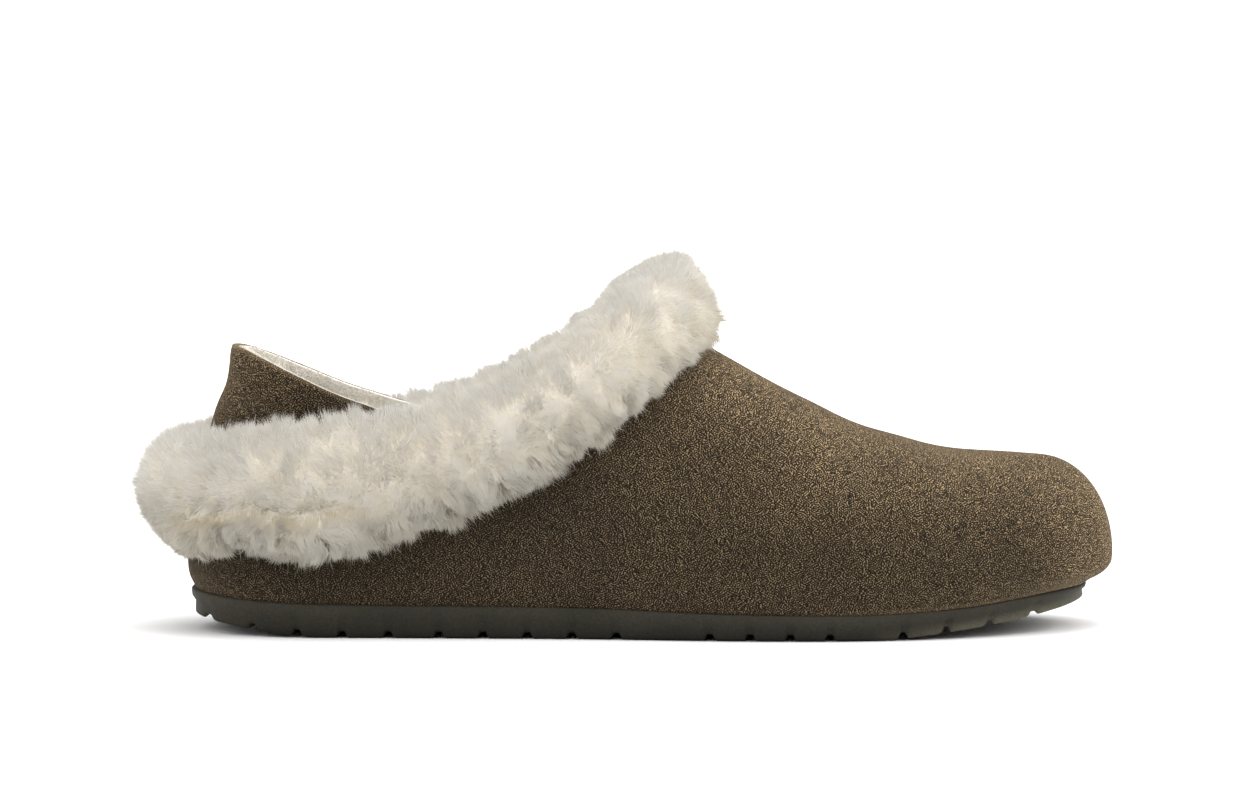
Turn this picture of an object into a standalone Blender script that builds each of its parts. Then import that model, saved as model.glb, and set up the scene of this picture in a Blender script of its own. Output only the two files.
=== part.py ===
"""Right-foot clog slipper: suede upper with a shearling cuff, footbed and grooved rubber outsole.

Sizes are millimetres, measured from the back of the outsole: +X to the toe, +Y to the inner side of
the foot, +Z up from the floor. new_object() turns them into metres.
"""
import bmesh
import bpy
import numpy as np

MM = 0.001
LATERAL = -1
MEDIAL = 1

# Overall sizes
SOLE_LENGTH = 262.0
SEAT_GAP = 0.35
UPPER_WALL = 4.0
EPSILON = 1e-4
THROAT_CROWDING = 2.0
WELD = 0.01
HALVINGS = 50


def table(columns, *rows):
    """A short table as one array for each named column."""
    return dict(zip(columns.split(), np.array(rows, dtype=float).T))


# Plan of the sole: half widths each side of an axis that swings inward at the toe
PLAN = table(
    "x axis lateral medial",
    (0, 0.0, 33.5, 33.0),
    (35, 0.0, 34.5, 33.5),
    (105, 0.0, 37.5, 34.0),
    (182, 1.5, 46.5, 44.5),
    (225, 6.0, 45.5, 40.0),
    (262, 9.5, 43.0, 36.5),
)
HEEL_CAP = 40.0
TOE_CAP = 62.0
CAP_POWER = 2.2

# Outsole: height of its upper face, rounded heel, toe spring, cross grooves
SOLE_TOP = table(
    "x z",
    (0, 12.3),
    (14, 11.0),
    (40, 10.0),
    (115, 9.3),
    (155, 8.0),
    (190, 7.7),
    (222, 9.0),
    (250, 12.2),
    (262, 13.1),
)
HEEL_LIFT = 4.6
HEEL_FLAT_FROM = 40.0
TOE_SPRING = 8.6
TOE_FLAT_TO = 198.0
EDGE_POWER = 1.5
SOLE_FOOT_INSET = 1.6
SOLE_SIDE_BULGE = 0.5
SOLE_BULGE_SHARE = 0.55
GROOVE_MOUTH = 3.4
GROOVE_FLOOR = 1.5
GROOVE_DEPTH = 2.3
GROOVE_BOW = 7.0
GROOVES = table(
    "first count pitch",
    (4.5, 5, 13.4),
    (72.7, 5, 12.75),
    (150.6, 4, 11.7),
    (207.2, 4, 12.9),
)
SOLE_STATIONS = 34
SOLE_LANES = 6
SOLE_TOP_LANES = 2

# Footbed: thickness over the outsole and how far its rim rises above its middle
FOOTBED = table(
    "x thickness lateral_rim medial_rim",
    (6, 9.0, 4.5, 4.5),
    (50, 8.0, 4.0, 4.5),
    (115, 9.5, 2.0, 5.0),
    (180, 7.5, 1.0, 1.0),
    (255, 6.5, 0.5, 0.5),
)
FOOTBED_INSET = 5.6
FOOTBED_STATIONS = 26
FOOTBED_LANES = 8

# Upper: overhang past the sole, height of its widest line, squareness, and where each section tops out
UPPER = table(
    "x overhang rise square crown",
    (0, 2.2, 8.5, 1.42, 26),
    (60, 2.2, 9.5, 1.9, 66),
    (100, 2.3, 10.2, 2.0, 100),
    (130, 2.4, 10.5, 2.05, 130),
    (190, 3.0, 11.0, 2.2, 190),
    (235, 4.6, 10.0, 2.3, 224),
    (262, 8.8, 8.5, 2.05, 247),
)
FEATHER_INSET = 0.6
TUCK_SHARE = 0.16
TUCK_POWER = 3
RIDGE = table(
    "x z",
    (26, 103.9),
    (90, 111.9),
    (126, 95.9),
    (152, 81.9),
    (179, 67.1),
    (205, 55.9),
    (223, 52.0),
    (239, 50.8),
    (247, 50.3),
)
TOPLINE = table(
    "x z",
    (6, 83.3),
    (14, 82.5),
    (21, 79.9),
    (30, 75.9),
    (48, 68.5),
    (72, 62.4),
    (95, 67.9),
    (115, 80.9),
    (131, 93.4),
    (150, 107.9),
)
REAR_COLUMNS = 18
FRONT_COLUMNS = 15
UPPER_ROWS = 12

# Cuff: lower and upper edge over the upper, and thickness of the pile
CUFF = table(
    "x hem top",
    (-2, 18.9, 56.4),
    (40, 20.9, 61.9),
    (75, 30.4, 66.4),
    (102, 43.9, 79.4),
    (122, 57.4, 97.9),
    (134, 68.4, 109.9),
    (152, 82.1, 126.9),
    (160, 88.4, 133.9),
)
CUFF_PILE = table(
    "x depth",
    (0.0, 18.0),
    (0.3, 15.0),
    (0.7, 14.5),
    (1.0, 16.5),
)
CUFF_STATIONS = 34
CUFF_ARC = 10
CUFF_BACK = 5
CUFF_SQUARE = 2.3


def curve(rows, column, x):
    """Value of one table column at x, on a monotone cubic through the rows."""
    knots, values = rows["x"], rows[column]
    x = np.clip(x, knots[0], knots[-1])
    step = np.diff(knots)
    rise = np.diff(values) / step
    product = rise[:-1] * rise[1:]
    total = np.where(product > 0, rise[:-1] + rise[1:], 1.0)
    inner = np.where(product > 0, 2 * product / total, 0.0)
    slope = np.concatenate(([rise[0]], inner, [rise[-1]]))
    i = np.clip(np.searchsorted(knots, x) - 1, 0, len(step) - 1)
    t = (x - knots[i]) / step[i]
    bend = t * (1 - t) * step[i] * ((1 - t) * slope[i] - t * slope[i + 1])
    return values[i] + t * t * (3 - 2 * t) * (values[i + 1] - values[i]) + bend


def end_cap(distance, length):
    """Share of the full width near a rounded end."""
    return (1 - (1 - np.clip(distance / length, 0, 1)) ** CAP_POWER) ** (1 / CAP_POWER)


def station(theta):
    """Length from the heel at an outline angle, 0 at the heel to pi at the toe."""
    return SOLE_LENGTH * (1 - np.cos(theta)) / 2


def fullness(theta):
    """Share of the full width along the outline, none at its two ends."""
    return end_cap(station(theta), HEEL_CAP) * end_cap(SOLE_LENGTH - station(theta), TOE_CAP)


def outline(theta, side):
    """Edge of the sole in plan."""
    x = station(theta)
    width = np.where(side > 0, curve(PLAN, "medial", x), curve(PLAN, "lateral", x))
    return np.stack([x, curve(PLAN, "axis", x) + side * width * fullness(theta)], -1)


def outward(theta, side):
    """Unit plan normal of the outline."""
    middle = np.clip(theta, 2 * EPSILON, np.pi - 2 * EPSILON)
    along = outline(middle + EPSILON, side) - outline(middle - EPSILON, side)
    normal = np.stack([-side * along[..., 1], side * along[..., 0]], -1)
    return normal / np.linalg.norm(normal, axis=-1, keepdims=True)


def edge(theta, side, inset):
    """Outline moved inward in plan."""
    return outline(theta, side) - inset * outward(theta, side)


def sole_bottom(x):
    """Underside of the outsole, flat between heel and forefoot."""
    heel = HEEL_LIFT * np.clip((HEEL_FLAT_FROM - x) / HEEL_FLAT_FROM, 0, 1) ** EDGE_POWER
    toe = TOE_SPRING * np.clip((x - TOE_FLAT_TO) / (SOLE_LENGTH - TOE_FLAT_TO), 0, 1) ** EDGE_POWER
    return heel + toe


def upper_point(theta, v, side):
    """Outer face of the upper: v runs from the feather edge up the wall and over to the ridge."""
    x = station(theta)
    plan = edge(theta, side, FEATHER_INSET)
    base = curve(SOLE_TOP, "z", plan[..., 0]) + SEAT_GAP
    wide = plan + curve(UPPER, "overhang", x)[..., None] * outward(theta, side)
    wide_z = base + curve(UPPER, "rise", x)
    crown_x = curve(UPPER, "crown", x)
    crown = np.stack([crown_x, curve(PLAN, "axis", crown_x)], -1)
    tuck = np.clip(v / TUCK_SHARE, 0, 1)
    turn = np.clip((v - TUCK_SHARE) / (1 - TUCK_SHARE), 0, 1) * np.pi / 2
    power = 2 / curve(UPPER, "square", x)
    lean = 1 - np.abs(np.cos(turn)) ** power
    climb = np.sin(turn) ** power
    spread = 1 - (1 - tuck) ** TUCK_POWER
    plan = plan + spread[..., None] * (wide - plan) + lean[..., None] * (crown - wide)
    z = base + tuck * (wide_z - base) + climb * (curve(RIDGE, "z", crown_x) - wide_z)
    return np.concatenate([plan, z[..., None]], -1)


def upper_normal(theta, v, side):
    """Outward unit normal of the upper's outer face."""
    theta = np.clip(theta, 10 * EPSILON, np.pi - 10 * EPSILON)
    v = np.clip(v, 10 * EPSILON, 1 - 10 * EPSILON)
    along = upper_point(theta + EPSILON, v, side) - upper_point(theta - EPSILON, v, side)
    up = upper_point(theta, v + EPSILON, side) - upper_point(theta, v - EPSILON, side)
    normal = -side * np.cross(along, up)
    return normal / np.linalg.norm(normal, axis=-1, keepdims=True)


def level_share(theta, side, rows, column):
    """How far up each column of the upper a side-view line crosses it; 1 where it never does."""
    low = np.full_like(theta, TUCK_SHARE)
    high = np.ones_like(theta)
    for _ in range(HALVINGS):
        middle = (low + high) / 2
        point = upper_point(theta, middle, side)
        below = point[..., 2] < curve(rows, column, point[..., 0])
        low = np.where(below, middle, low)
        high = np.where(below, high, middle)
    return high


def ridge_crossing(rows, column):
    """Outline angle of the column whose ridge point lies on a side-view line."""
    low, high = np.pi / 3, np.pi
    for _ in range(HALVINGS):
        middle = (low + high) / 2
        x, _, z = upper_point(np.array(middle), np.array(1.0), LATERAL)
        if curve(rows, column, x) < z:
            low = middle
        else:
            high = middle
    return low


def new_material(name, color, roughness):
    """Plain Principled material."""
    material = bpy.data.materials.new(name)
    material.use_nodes = True
    shader = material.node_tree.nodes["Principled BSDF"]
    shader.inputs["Base Color"].default_value = (*color, 1.0)
    shader.inputs["Roughness"].default_value = roughness
    return material


def new_object(name, points, faces, collection, parent, material):
    """Mesh object from millimetre points, welded where sections close to a point or meet."""
    mesh = bpy.data.meshes.new(name)
    mesh.from_pydata((np.asarray(points) * MM).tolist(), [], faces)
    work = bmesh.new()
    work.from_mesh(mesh)
    bmesh.ops.remove_doubles(work, verts=work.verts[:], dist=WELD * MM)
    bmesh.ops.recalc_face_normals(work, faces=work.faces[:])
    work.to_mesh(mesh)
    work.free()
    item = bpy.data.objects.new(name, mesh)
    item.parent = parent
    mesh.materials.append(material)
    collection.objects.link(item)
    return item


def loft(rings, closed):
    """Points and quads through closed sections; a closed loft joins the last section to the first."""
    count, size = len(rings), len(rings[0])
    faces = []
    for k in range(count if closed else count - 1):
        here, there = k * size, (k + 1) % count * size
        for i in range(size):
            j = (i + 1) % size
            faces.append((here + i, here + j, there + j, there + i))
    return np.concatenate(rings), faces


def sole_stations():
    """Lengthwise stations of the outsole, each with the share of groove depth there."""
    grooves = []
    for first, count, pitch in zip(GROOVES["first"], GROOVES["count"], GROOVES["pitch"]):
        grooves += [first + pitch * i for i in range(int(count))]
    rows = []
    for centre in grooves:
        rows += [(centre - GROOVE_MOUTH / 2, 0.0), (centre - GROOVE_FLOOR / 2, 1.0)]
        rows += [(centre + GROOVE_FLOOR / 2, 1.0), (centre + GROOVE_MOUTH / 2, 0.0)]
    for theta in np.linspace(0, np.pi, SOLE_STATIONS):
        x = station(theta)
        if all(abs(x - centre) > GROOVE_MOUTH for centre in grooves):
            rows.append((x, 0.0))
    return sorted(row for row in rows if 0 <= row[0] <= SOLE_LENGTH)


def build_outsole(collection, parent, material):
    """Rubber outsole with drafted sides and bowed grooves that show as notches in its edge."""
    lanes = np.linspace(0, 1, SOLE_LANES + 1)[:, None]
    top_lanes = np.linspace(0, 1, SOLE_TOP_LANES + 1)[:, None]
    rings = []
    for x, groove in sole_stations():
        theta = np.arccos(1 - 2 * x / SOLE_LENGTH)
        bottom = sole_bottom(x) + groove * GROOVE_DEPTH
        top = curve(SOLE_TOP, "z", x)
        foot = [edge(theta, side, SOLE_FOOT_INSET) for side in (LATERAL, MEDIAL)]
        waist = [edge(theta, side, -SOLE_SIDE_BULGE) for side in (LATERAL, MEDIAL)]
        lip = [edge(theta, side, 0) for side in (LATERAL, MEDIAL)]
        under = foot[0] + lanes * (foot[1] - foot[0])
        width = (foot[1][1] - foot[0][1]) / 2
        bow = GROOVE_BOW * (width / PLAN["lateral"].max()) ** 2
        under[:, 0] += bow * (1 - (2 * lanes[:, 0] - 1) ** 2)
        over = lip[1] + top_lanes * (lip[0] - lip[1])
        bulge = bottom + SOLE_BULGE_SHARE * (top - bottom)
        ring = [(*point, bottom) for point in under]
        ring.append((*waist[1], bulge))
        ring += [(*point, top) for point in over]
        ring.append((*waist[0], bulge))
        rings.append(np.array(ring))
    points, faces = loft(rings, False)
    return new_object("outsole", points, faces, collection, parent, material)


def build_footbed(collection, parent, material):
    """Contoured footbed that lies on the outsole inside the upper."""
    lanes = np.linspace(0, 1, FOOTBED_LANES + 1)
    rings = []
    for theta in np.linspace(0, np.pi, FOOTBED_STATIONS):
        ends = [edge(theta, side, FOOTBED_INSET) for side in (LATERAL, MEDIAL)]
        plan = ends[0] + lanes[:, None] * (ends[1] - ends[0])
        floor = curve(SOLE_TOP, "z", plan[:, 0]) + SEAT_GAP
        lateral = curve(FOOTBED, "lateral_rim", plan[:, 0])
        medial = curve(FOOTBED, "medial_rim", plan[:, 0])
        rim = (1 - lanes) * lateral + lanes * medial
        nearness = 1 - (1 - (2 * lanes - 1) ** 2) * fullness(theta)
        top = floor + curve(FOOTBED, "thickness", plan[:, 0]) + rim * nearness
        under = np.column_stack([plan, floor])
        over = np.column_stack([plan, top])[::-1]
        rings.append(np.concatenate([under, over]))
    points, faces = loft(rings, False)
    return new_object("footbed", points, faces, collection, parent, material)


def build_upper(collection, parent, material):
    """Hollow upper: closed over the vamp, open at the collar and along the feather edge."""
    throat = ridge_crossing(TOPLINE, "z")
    rear = throat * (1 - (1 - np.linspace(0, 1, REAR_COLUMNS + 1)) ** THROAT_CROWDING)
    front = np.linspace(throat, np.pi, FRONT_COLUMNS + 1)[1:]
    columns = np.concatenate([rear, front])
    rows = np.linspace(0, 1, UPPER_ROWS + 1)
    points, faces = [], []
    for side in (LATERAL, MEDIAL):
        reach = np.where(columns < throat, level_share(columns, side, TOPLINE, "z"), 1.0)
        start = len(points)
        points += list(upper_point(columns[:, None], rows * reach[:, None], side).reshape(-1, 3))
        for i in range(len(columns) - 1):
            for j in range(UPPER_ROWS):
                first = start + i * (UPPER_ROWS + 1) + j
                above = first + UPPER_ROWS + 1
                faces.append((first, above, above + 1, first + 1)[::-side])
    upper = new_object("upper", points, faces, collection, parent, material)
    wall = upper.modifiers.new("wall", "SOLIDIFY")
    wall.thickness = UPPER_WALL * MM
    wall.offset = -1
    wall.use_even_offset = True
    return upper


def cuff_section(place, side, hem_end, top_end):
    """One D-shaped section of the cuff: flat on the upper, full on the outside."""
    arc = np.linspace(0, np.pi, CUFF_ARC + 1)
    back = np.linspace(1, 0, CUFF_BACK + 1)[1:-1]
    share = np.concatenate([(1 - np.cos(arc)) / 2, back])
    depth = curve(CUFF_PILE, "depth", place) * np.sin(arc) ** (2 / CUFF_SQUARE)
    depth = np.concatenate([depth, np.zeros(len(back))]) + SEAT_GAP
    hem_theta = np.array([place * hem_end])
    top_theta = np.array([place * top_end])
    hem_share = level_share(hem_theta, side, CUFF, "hem")
    top_share = level_share(top_theta, side, CUFF, "top")
    theta = hem_theta + share * (top_theta - hem_theta)
    v = hem_share + share * (top_share - hem_share)
    normal = upper_normal(theta, v, side)
    if place in (0.0, 1.0):
        normal[:, 1] = 0
        normal /= np.linalg.norm(normal, axis=1, keepdims=True)
    return upper_point(theta, v, side) + depth[:, None] * normal


def build_cuff(collection, parent, material):
    """Shearling cuff lying round the outside of the collar, high at the instep and low at the heel."""
    hem_end = ridge_crossing(CUFF, "hem")
    top_end = ridge_crossing(CUFF, "top")
    places = 1 - (1 - np.linspace(0, 1, CUFF_STATIONS + 1)) ** THROAT_CROWDING
    rings = [cuff_section(place, LATERAL, hem_end, top_end) for place in places]
    rings += [cuff_section(place, MEDIAL, hem_end, top_end) for place in places[-2:0:-1]]
    points, faces = loft(rings, True)
    return new_object("cuff", points, faces, collection, parent, material)


def main():
    for item in list(bpy.data.objects):
        bpy.data.objects.remove(item, do_unlink=True)
    collection = bpy.data.collections.new("clog_slipper")
    bpy.context.scene.collection.children.link(collection)
    root = bpy.data.objects.new("clog_slipper_root", None)
    collection.objects.link(root)

    rubber = new_material("rubber", (0.045, 0.042, 0.033), 0.75)
    suede = new_material("suede", (0.13, 0.095, 0.06), 0.9)
    shearling = new_material("shearling", (0.78, 0.73, 0.63), 0.95)
    felt = new_material("footbed_shearling", (0.75, 0.71, 0.62), 0.95)
    parts = [
        build_outsole(collection, root, rubber),
        build_footbed(collection, root, felt),
        build_upper(collection, root, suede),
        build_cuff(collection, root, shearling),
    ]

    # The middle of the whole box stands over the origin
    corners = np.array([corner.co[:] for part in parts for corner in part.data.vertices])
    low, high = corners.min(axis=0), corners.max(axis=0)
    root.location = (-(low[0] + high[0]) / 2, -(low[1] + high[1]) / 2, -low[2])


main()
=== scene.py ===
"""Looks of a right-foot clog slipper: napped suede, shearling cuff and lining, grooved rubber outsole.

Shapes are worked out in millimetres from the back of the outsole, +X to the toe, +Y to the inner side
of the foot, +Z up, and to_row() puts them in the frame's metres.
"""
import math

import bmesh
import bpy
import numpy as np
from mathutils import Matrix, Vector
from mathutils import noise
from mathutils.kdtree import KDTree


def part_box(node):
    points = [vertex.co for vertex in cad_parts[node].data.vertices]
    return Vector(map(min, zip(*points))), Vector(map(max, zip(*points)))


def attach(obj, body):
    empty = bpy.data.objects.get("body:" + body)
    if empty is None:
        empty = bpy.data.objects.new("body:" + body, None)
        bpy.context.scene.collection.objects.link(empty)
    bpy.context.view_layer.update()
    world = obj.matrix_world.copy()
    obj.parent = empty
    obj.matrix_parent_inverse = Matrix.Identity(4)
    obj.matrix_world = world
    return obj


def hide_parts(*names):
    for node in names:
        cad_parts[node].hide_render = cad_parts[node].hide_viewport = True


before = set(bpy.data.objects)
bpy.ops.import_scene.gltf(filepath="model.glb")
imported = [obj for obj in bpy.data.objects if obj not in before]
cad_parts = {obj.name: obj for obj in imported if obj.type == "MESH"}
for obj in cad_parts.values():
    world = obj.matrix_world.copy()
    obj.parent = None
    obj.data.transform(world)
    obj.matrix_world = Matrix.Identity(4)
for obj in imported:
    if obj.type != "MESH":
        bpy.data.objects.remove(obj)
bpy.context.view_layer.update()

MM = 0.001
LATERAL = -1
MEDIAL = 1
EPSILON = 1e-4
HALVINGS = 50
WELD = 0.004


def table(columns, *rows):
    """A short table as one array for each named column."""
    return dict(zip(columns.split(), np.array(rows, dtype=float).T))


# Plan of the sole: half widths each side of an axis that swings inward at the toe
SOLE_LENGTH = 262.0
PLAN = table(
    "x axis lateral medial",
    (0, 0.0, 33.5, 33.0),
    (35, 0.0, 34.5, 33.5),
    (105, 0.0, 37.5, 34.0),
    (182, 1.5, 46.5, 44.5),
    (225, 6.0, 45.5, 40.0),
    (262, 9.5, 43.0, 36.5),
)
HEEL_CAP = 40.0
TOE_CAP = 62.0
CAP_POWER = 2.2

# Outsole
SOLE_TOP = table(
    "x z",
    (0, 12.3),
    (14, 11.0),
    (40, 10.0),
    (115, 9.3),
    (155, 8.0),
    (190, 7.7),
    (222, 9.0),
    (250, 12.2),
    (262, 13.1),
)
HEEL_LIFT = 4.6
HEEL_FLAT_FROM = 40.0
TOE_SPRING = 8.6
TOE_FLAT_TO = 198.0
EDGE_POWER = 1.5
SOLE_FOOT_INSET = 1.6
SOLE_SIDE_BULGE = 0.5
SOLE_FILLET = 2.2
SOLE_LIP = 0.7
SOLE_SIDE = (0.7, 0.5), (-0.3, 0.68), (-SOLE_SIDE_BULGE, 0.82)
SOLE_STATIONS = 130
SOLE_LANES = 15
SOLE_CRISP = table(
    "x share",
    (0, 0.4),
    (30, 1.0),
    (225, 1.0),
    (255, 0.3),
)
GROOVE_DEPTH = 1.8
GROOVE_SHARE = table(
    "x share",
    (0, 0.7),
    (20, 1.0),
    (225, 1.0),
    (250, 0.6),
)
GROOVE_BOW = 7.0
GROOVES = table(
    "first count pitch",
    (4.5, 5, 13.4),
    (72.7, 5, 12.75),
    (150.6, 4, 11.7),
    (207.2, 4, 12.9),
)
GROOVE_PROFILE = table(
    "x depth",
    (-2.2, 0.0),
    (-1.75, 0.05),
    (-1.45, 0.25),
    (-0.85, 0.9),
    (-0.55, 1.0),
    (0.55, 1.0),
    (0.85, 0.9),
    (1.45, 0.25),
    (1.75, 0.05),
    (2.2, 0.0),
)

# Rubber: painted shade by the floor, painted light on the lower toe and round the heel
FLOOR_SHADE = 0.6
FLOOR_SHADE_RISE = 6.5
FLOOR_SHADE_POWER = 1.5
PAINTED_TOE_LIGHT = 2.6
PAINTED_TOE_LIGHT_RISE = 3.2
PAINTED_TOE_LIGHT_FROM = 195.0
PAINTED_TOE_LIGHT_BLEND = 25.0
PAINTED_HEEL_LIGHT = 0.6
PAINTED_HEEL_LIGHT_REACH = 22.0

# Footbed
FOOTBED = table(
    "x thickness lateral_rim medial_rim",
    (6, 9.0, 4.5, 4.5),
    (50, 8.0, 4.0, 4.5),
    (115, 9.5, 2.0, 5.0),
    (180, 7.5, 1.0, 1.0),
    (255, 6.5, 0.5, 0.5),
)
FOOTBED_INSET = 5.6
FOOTBED_SINK = 3.0
FOOTBED_SWELL = 2.4
FOOTBED_SEEN = 0.62
FOOTBED_STATIONS = 70
FOOTBED_LANES = 20

# Upper
SEAT_GAP = 0.35
UPPER = table(
    "x overhang rise square crown",
    (0, 2.2, 8.5, 1.42, 26),
    (60, 2.2, 9.5, 1.9, 66),
    (100, 2.3, 10.2, 2.0, 100),
    (130, 2.4, 10.5, 2.05, 130),
    (190, 3.0, 11.0, 2.2, 190),
    (235, 4.6, 10.0, 2.3, 224),
    (262, 8.8, 8.5, 2.05, 247),
)
FEATHER_INSET = 0.6
TUCK_SHARE = 0.16
TUCK_POWER = 3
RIDGE = table(
    "x z",
    (26, 103.9),
    (90, 111.9),
    (126, 95.9),
    (152, 81.9),
    (179, 67.1),
    (205, 55.9),
    (223, 52.0),
    (239, 50.8),
    (247, 50.3),
)
TOPLINE = table(
    "x z",
    (6, 83.3),
    (14, 82.5),
    (21, 79.9),
    (30, 75.9),
    (48, 68.5),
    (72, 62.4),
    (95, 67.9),
    (115, 80.9),
    (131, 93.4),
    (150, 107.9),
)
SUEDE_THICKNESS = 2.0
SUEDE_ROLL = 0.9
FEATHER_DROP = 0.8
LINING_OVER = 0.7
LINING_DEPTH = 2.2
LINING_THICKNESS = 1.2
THROAT_CROWDING = 2.0
CREASES = table(
    "x z x_reach z_reach depth",
    (196, 47, 9, 16, -0.7),
    (207, 49, 7, 14, 0.45),
    (184, 56, 8, 15, 0.35),
    (226, 40, 12, 14, -0.35),
    (150, 62, 16, 14, -0.5),
    (112, 34, 20, 10, 0.35),
    (70, 20, 26, 7, -0.25),
    (243, 34, 10, 12, 0.35),
)
CREASE_SLANT = 0.35
SLACK = 0.3
SLACK_SIZE = 23.0
RIM_SWELL = 1.6
RIM_PINCH = 0.8
RIM_PINCH_BELOW = 11.0
RIM_REACH = 4.5
RIM_HEEL_TO = 40.0
RIM_HEEL_BLEND = 30.0
RIM_SIDE_SHARE = 0.4

# Grids over the upper (columns behind the throat, columns ahead of it, rows), and where pile grows
SUEDE_GRID = 66, 70, 52
LINING_GRID = 44, 40, 26
PILE_GRID = 60, 24, 30
PILE_COLUMNS = 66
PILE_FROM_ROW = 5
PILE_ROOTED = 0.3

# Suede: nap, edges rubbed light, painted highlight on the toe front
NAP_DIRECTION = (0.0955, -0.294, 0.951)
NAP_SCALE = 720.0
NAP_FREQUENCY = 2.4
NAP_ANISOTROPY = 0.2
RIM_RUB = 0.015
FEATHER_RUB = 0.018
FEATHER_RUB_FROM = 170.0
FEATHER_RUB_BLEND = 50.0
TOE_PAINTED_HIGHLIGHT = 1.3
TOE_PAINTED_HIGHLIGHT_FROM = 242.0
TOE_PAINTED_HIGHLIGHT_BLEND = 25.0

# Cuff
CUFF = table(
    "x hem top",
    (-2, 18.9, 56.4),
    (40, 20.9, 61.9),
    (75, 30.4, 66.4),
    (102, 43.9, 79.4),
    (122, 57.4, 97.9),
    (134, 68.4, 109.9),
    (152, 82.1, 126.9),
    (160, 88.4, 133.9),
)
CUFF_PILE = table(
    "x depth",
    (0.0, 18.0),
    (0.3, 15.0),
    (0.7, 14.5),
    (1.0, 16.5),
)
CUFF_SQUARE = 2.3
# Painted shadow of the cuff on the suede below its hem: its strength, and how far it reaches along the
# shoe
HEM_SHADE = 0.5
HEM_REACH = table(
    "x reach",
    (0, 6.0),
    (90, 14.0),
    (130, 7.0),
    (150, 4.0),
)
SKIN_SHARE = 0.68
SKIN_HEM_SHARE = 0.18
SKIN_TOP_SHARE = 0.09
CUFF_ARC = 26
CUFF_BACK = 6
BACK_LEVEL = 0.55
CUFF_PLACES = 150
HEM_RAISE = 0.13
HEM_RAISE_PLACE = 0.31
HEM_RAISE_REACH = 0.1
HEEL_TAPER = 0.62
TAPER_LEVEL = 0.55
THROAT_SHOULDER = 0.2
CREASE_DEPTH = 3.0
TUFTS = 700
TUFT_HEIGHT = 1.3
TUFT_SIZE = 3.2
TUFT_SINK = 0.4
HEEL_END = 0.32
THROAT_START = 0.8
END_BLEND = 0.2

# Parted crease of the cuff, by section and by place along it
PARTING = 0.34
PARTING_WAVE = 0.015
PARTING_WIDTH = 0.045
PARTING_FROM = 0.12
PARTING_FROM_BLEND = 0.1
PARTING_TO = 0.62
PARTING_TO_BLEND = 0.12

# Pile: number of strands, locks and finer wisps, strand sizes, and how locks lean and gather
CUFF_SEED = 11
CUFF_STRANDS = 290000
CUFF_LOCKS = 1500
CUFF_WISPS = 30000
HEM_WEIGHT = 2.0
HEM_COLUMNS = 4
BACK_WEIGHT = 0.5
HEEL_ZONE = 0.33
THROAT_ZONE = 0.86
CUFF_LENGTH = 6.8
CUFF_WIDTH = 0.15
LOCK_SWAY = 0.28
LOCK_PULL = 0.2
LOCK_SPREAD = 0.6
WISP_PULL = 0.42
WISP_SPREAD = 0.42
STRAND_JITTER = 0.22
STRAY_SHARE = 0.05
STRAY_LENGTH = 1.15
COMB = 0.9
COMB_PARTING = 0.52
CREASE_COMB = 0.8
LINING_SEED = 23
LINING_STRANDS = 34000
LINING_LENGTH = 3.0
LINING_WIDTH = 0.4
LINING_LEAN = 0.7
FOOTBED_SEED = 37
FOOTBED_STRANDS = 20000
FOOTBED_LENGTH = 3.6
FOOTBED_WIDTH = 0.55
SHORT_LOCK = 24
SHORT_TONE = 1.2
SHORT_PULL = 0.55
SHORT_SPREAD = 0.5
LOOSE_JITTER = 0.3
CUFF_LUMP = 14.0
SHORT_LUMP = 9.0
LINING_TONES = (0.78, 0.745, 0.665), (0.83, 0.80, 0.74)
CUFF_TONES = (0.74, 0.70, 0.62), (0.80, 0.77, 0.715)
WOOL_ROOT = np.array([0.67, 0.625, 0.545])
WOOL_MIDDLE = np.array([0.69, 0.67, 0.635])
WOOL_TIP = np.array([0.705, 0.693, 0.67])
WOOL_YELLOW = np.array([1.0, 0.965, 0.87])
WOOL_THROUGH = 0.5
WOOL_LIFT = 0.7
WOOL_TURN = 0.35
WOOL_ROUND = 0.4

# Cuff strands by section, 0 at the hem, about 0.5 outermost, 1 at the top edge
HEEL_LENGTHS = table(
    "x share",
    (0.0, -0.45),
    (0.25, -0.4),
    (0.5, -0.2),
    (0.7, 0.3),
    (0.85, -0.1),
    (1.0, -0.35),
)
THROAT_LENGTHS = table(
    "x share",
    (0.25, 0.0),
    (0.5, 0.15),
    (0.7, -0.4),
    (0.85, -0.45),
    (1.0, -0.3),
)
RAGGED = table(
    "x share",
    (0.0, 0.42),
    (0.25, 0.12),
    (0.6, 0.08),
    (1.0, 0.2),
)
CALM = table(
    "x share",
    (0.3, 1.0),
    (0.6, 0.7),
)
# Painted shade on the cuff strands, darker towards the hem
FRINGE_PAINTED_SHADE = table(
    "x share",
    (0.0, 0.88),
    (0.25, 0.92),
    (0.5, 0.94),
)
HEEL_TONE = 0.15

# Stage
PHOTO_WIDTH = 1250
PHOTO_PIXEL = 0.293
CAMERA_TARGET = (126.6, 0.0, 66.7)
CAMERA_ELEVATION = 4.0
CAMERA_DISTANCE = 1.9
FLOOR_REACH = 60.0
WORLD_LIGHT = 0.55


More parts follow.
